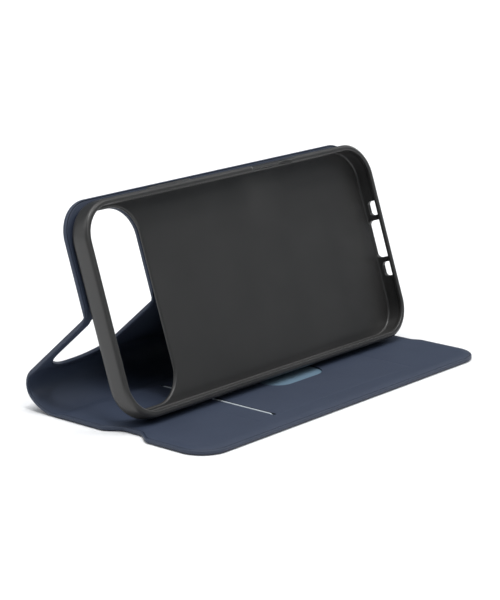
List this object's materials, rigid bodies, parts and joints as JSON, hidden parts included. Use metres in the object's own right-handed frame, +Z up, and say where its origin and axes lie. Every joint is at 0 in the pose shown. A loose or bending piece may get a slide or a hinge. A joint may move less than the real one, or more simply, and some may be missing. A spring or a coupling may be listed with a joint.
{
  "type": "phone wallet case",
  "caption": "Folding phone wallet case standing on its cover: open soft tray leaning back on a creased leg, with a flat front flap that has a card slot.",
  "frame": {"origin": "middle of the footprint, on the table under the flap", "axes": "+X along the case's long sides from the camera end to the port end, -Y to the side that the open tray faces, +Z up"},
  "size_m": [0.1612, 0.0862, 0.0785],
  "materials": {
    "navy_cover": "satin pressed synthetic leather",
    "navy_lining": "matt smooth lining",
    "light_blue_pocket": "soft fabric",
    "tray_grey": "satin moulded soft plastic",
    "fibre_board": "raw board",
    "adhesive": "clear to milky adhesive film",
    "magnet_steel": "plated"
  },
  "bodies": {
    "front_flap": {"flap_outer_skin": "navy_cover", "flap_bend_lining": "navy_lining", "flap_board": "fibre_board", "flap_pocket_frame": "fibre_board", "flap_pocket_liner": "light_blue_pocket", "flap_inner_lining": "navy_lining", "flap_magnet_left": "magnet_steel", "flap_magnet_right": "magnet_steel"},
    "spine": {"spine_outer_skin": "navy_cover", "spine_lining": "navy_lining"},
    "stand_leg": {"leg_outer_skin": "navy_cover", "leg_board": "fibre_board", "leg_lining": "navy_lining", "leg_bend_lining": "navy_lining"},
    "phone_tray": {"tray_shell": "tray_grey", "back_outer_skin": "navy_cover", "back_board": "fibre_board", "back_adhesive_sheet": "adhesive", "back_keeper_plate_left": "magnet_steel", "back_keeper_plate_right": "magnet_steel"},
    "power_button": {"power_button_cover": "tray_grey"},
    "action_button": {"action_button_cover": "tray_grey"},
    "volume_up_button": {"volume_up_button_cover": "tray_grey"},
    "volume_down_button": {"volume_down_button_cover": "tray_grey"}
  },
  "joints": [
    {"name": "flap_hinge", "type": "hinge", "parent": "front_flap", "child": "spine", "pos_m": [0, 0.03535, 0.00074], "axis": [1, 0, 0], "range_deg": [-40, 0]},
    {"name": "leg_hinge", "type": "hinge", "parent": "spine", "child": "stand_leg", "pos_m": [0, 0.0441, 0.00953], "axis": [1, 0, 0], "range_deg": [-99.4, 0]},
    {"name": "crease", "type": "hinge", "parent": "stand_leg", "child": "phone_tray", "pos_m": [0, 0.01282, 0.03877], "axis": [1, 0, 0], "range_deg": [0, 67.8]},
    {"name": "power_button_press", "type": "slide", "parent": "phone_tray", "child": "power_button", "axis": [0, -0.3145, -0.9493], "range_m": [0, 0.0003], "stiffness_N_per_m": 4000},
    {"name": "action_button_press", "type": "slide", "parent": "phone_tray", "child": "action_button", "axis": [0, 0.3145, 0.9493], "range_m": [0, 0.0003], "stiffness_N_per_m": 4000},
    {"name": "volume_up_button_press", "type": "slide", "parent": "phone_tray", "child": "volume_up_button", "axis": [0, 0.3145, 0.9493], "range_m": [0, 0.0003], "stiffness_N_per_m": 4000},
    {"name": "volume_down_button_press", "type": "slide", "parent": "phone_tray", "child": "volume_down_button", "axis": [0, 0.3145, 0.9493], "range_m": [0, 0.0003], "stiffness_N_per_m": 4000}
  ],
  "couplings": [
    {"joint": "crease", "follows": "leg_hinge", "ratio": -0.68139}
  ]
}
